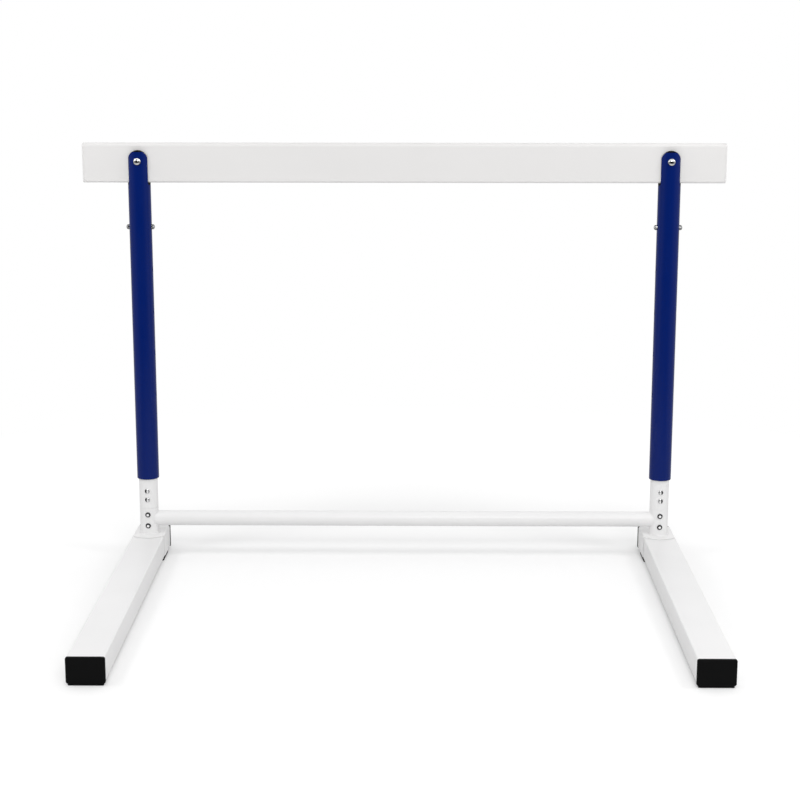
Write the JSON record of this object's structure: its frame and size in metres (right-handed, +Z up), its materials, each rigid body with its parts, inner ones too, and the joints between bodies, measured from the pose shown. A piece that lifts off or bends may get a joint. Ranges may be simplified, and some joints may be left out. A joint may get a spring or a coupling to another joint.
{
  "type": "track hurdle",
  "caption": "Adjustable athletics hurdle: a white board held in forked telescoping uprights, set to height by sprung buttons, on a welded foot frame with forward legs.",
  "frame": {"origin": "middle of the foot frame's footprint, on the floor", "axes": "+X along the board, +Y from the feet's front caps towards the uprights, +Z up"},
  "size_m": [1.14, 0.7086, 0.762],
  "materials": {
    "board_white": "satin",
    "blue_paint": "gloss powder coat",
    "white_paint": "gloss powder coat",
    "black_plastic": "moulded",
    "guide_nylon": "smooth",
    "rubber": "matte",
    "chrome": "polished",
    "zinc_steel": "zinc plated",
    "spring_steel": "plain"
  },
  "bodies": {
    "frame": {"cross_tube": "white_paint", "left_inner_tube": "white_paint", "left_guide_plug": "guide_nylon", "left_snap_spring": "spring_steel", "left_spigot": "zinc_steel", "left_upper_rivet": "chrome", "left_lower_rivet": "chrome", "left_upper_base_bolt": "chrome", "left_lower_base_bolt": "chrome", "left_upper_base_nut": "zinc_steel", "left_lower_base_nut": "zinc_steel", "left_base_post": "white_paint", "left_leg": "white_paint", "left_front_cap": "black_plastic", "left_rear_cap": "black_plastic", "left_rear_pad": "rubber", "right_inner_tube": "white_paint", "right_guide_plug": "guide_nylon", "right_snap_spring": "spring_steel", "right_spigot": "zinc_steel", "right_upper_rivet": "chrome", "right_lower_rivet": "chrome", "right_upper_base_bolt": "chrome", "right_lower_base_bolt": "chrome", "right_upper_base_nut": "zinc_steel", "right_lower_base_nut": "zinc_steel", "right_base_post": "white_paint", "right_leg": "white_paint", "right_front_cap": "black_plastic", "right_rear_cap": "black_plastic", "right_rear_pad": "rubber"},
    "carriage": {"crossbar": "board_white", "left_end_plug": "board_white", "right_end_plug": "board_white", "left_outer_tube": "blue_paint", "left_fork_insert": "black_plastic", "left_crossbar_bolt": "chrome", "left_crossbar_washer": "zinc_steel", "left_crossbar_cap_nut": "zinc_steel", "left_guide_sleeve": "guide_nylon", "right_outer_tube": "blue_paint", "right_fork_insert": "black_plastic", "right_crossbar_bolt": "chrome", "right_crossbar_washer": "zinc_steel", "right_crossbar_cap_nut": "zinc_steel", "right_guide_sleeve": "guide_nylon"},
    "left_outer_button": {"left_outer_button": "chrome"},
    "left_inner_button": {"left_inner_button": "chrome"},
    "right_outer_button": {"right_outer_button": "chrome"},
    "right_inner_button": {"right_inner_button": "chrome"}
  },
  "joints": [
    {"name": "height_slide", "type": "slide", "parent": "frame", "child": "carriage", "axis": [0, 0, 1], "range_m": [0, 0.3048], "deforming": ["left_snap_spring", "left_outer_button", "left_inner_button", "right_snap_spring", "right_outer_button", "right_inner_button"]},
    {"name": "left_outer_button_press", "type": "slide", "parent": "frame", "child": "left_outer_button", "axis": [1, 0, 0], "range_m": [0, 0.008], "stiffness_N_per_m": 1500, "springref_m": -0.003, "deforming": ["left_snap_spring"]},
    {"name": "left_inner_button_press", "type": "slide", "parent": "frame", "child": "left_inner_button", "axis": [-1, 0, 0], "range_m": [0, 0.008], "stiffness_N_per_m": 1500, "springref_m": -0.003, "deforming": ["left_snap_spring"]},
    {"name": "right_outer_button_press", "type": "slide", "parent": "frame", "child": "right_outer_button", "axis": [-1, 0, 0], "range_m": [0, 0.008], "stiffness_N_per_m": 1500, "springref_m": -0.003, "deforming": ["right_snap_spring"]},
    {"name": "right_inner_button_press", "type": "slide", "parent": "frame", "child": "right_inner_button", "axis": [1, 0, 0], "range_m": [0, 0.008], "stiffness_N_per_m": 1500, "springref_m": -0.003, "deforming": ["right_snap_spring"]}
  ]
}
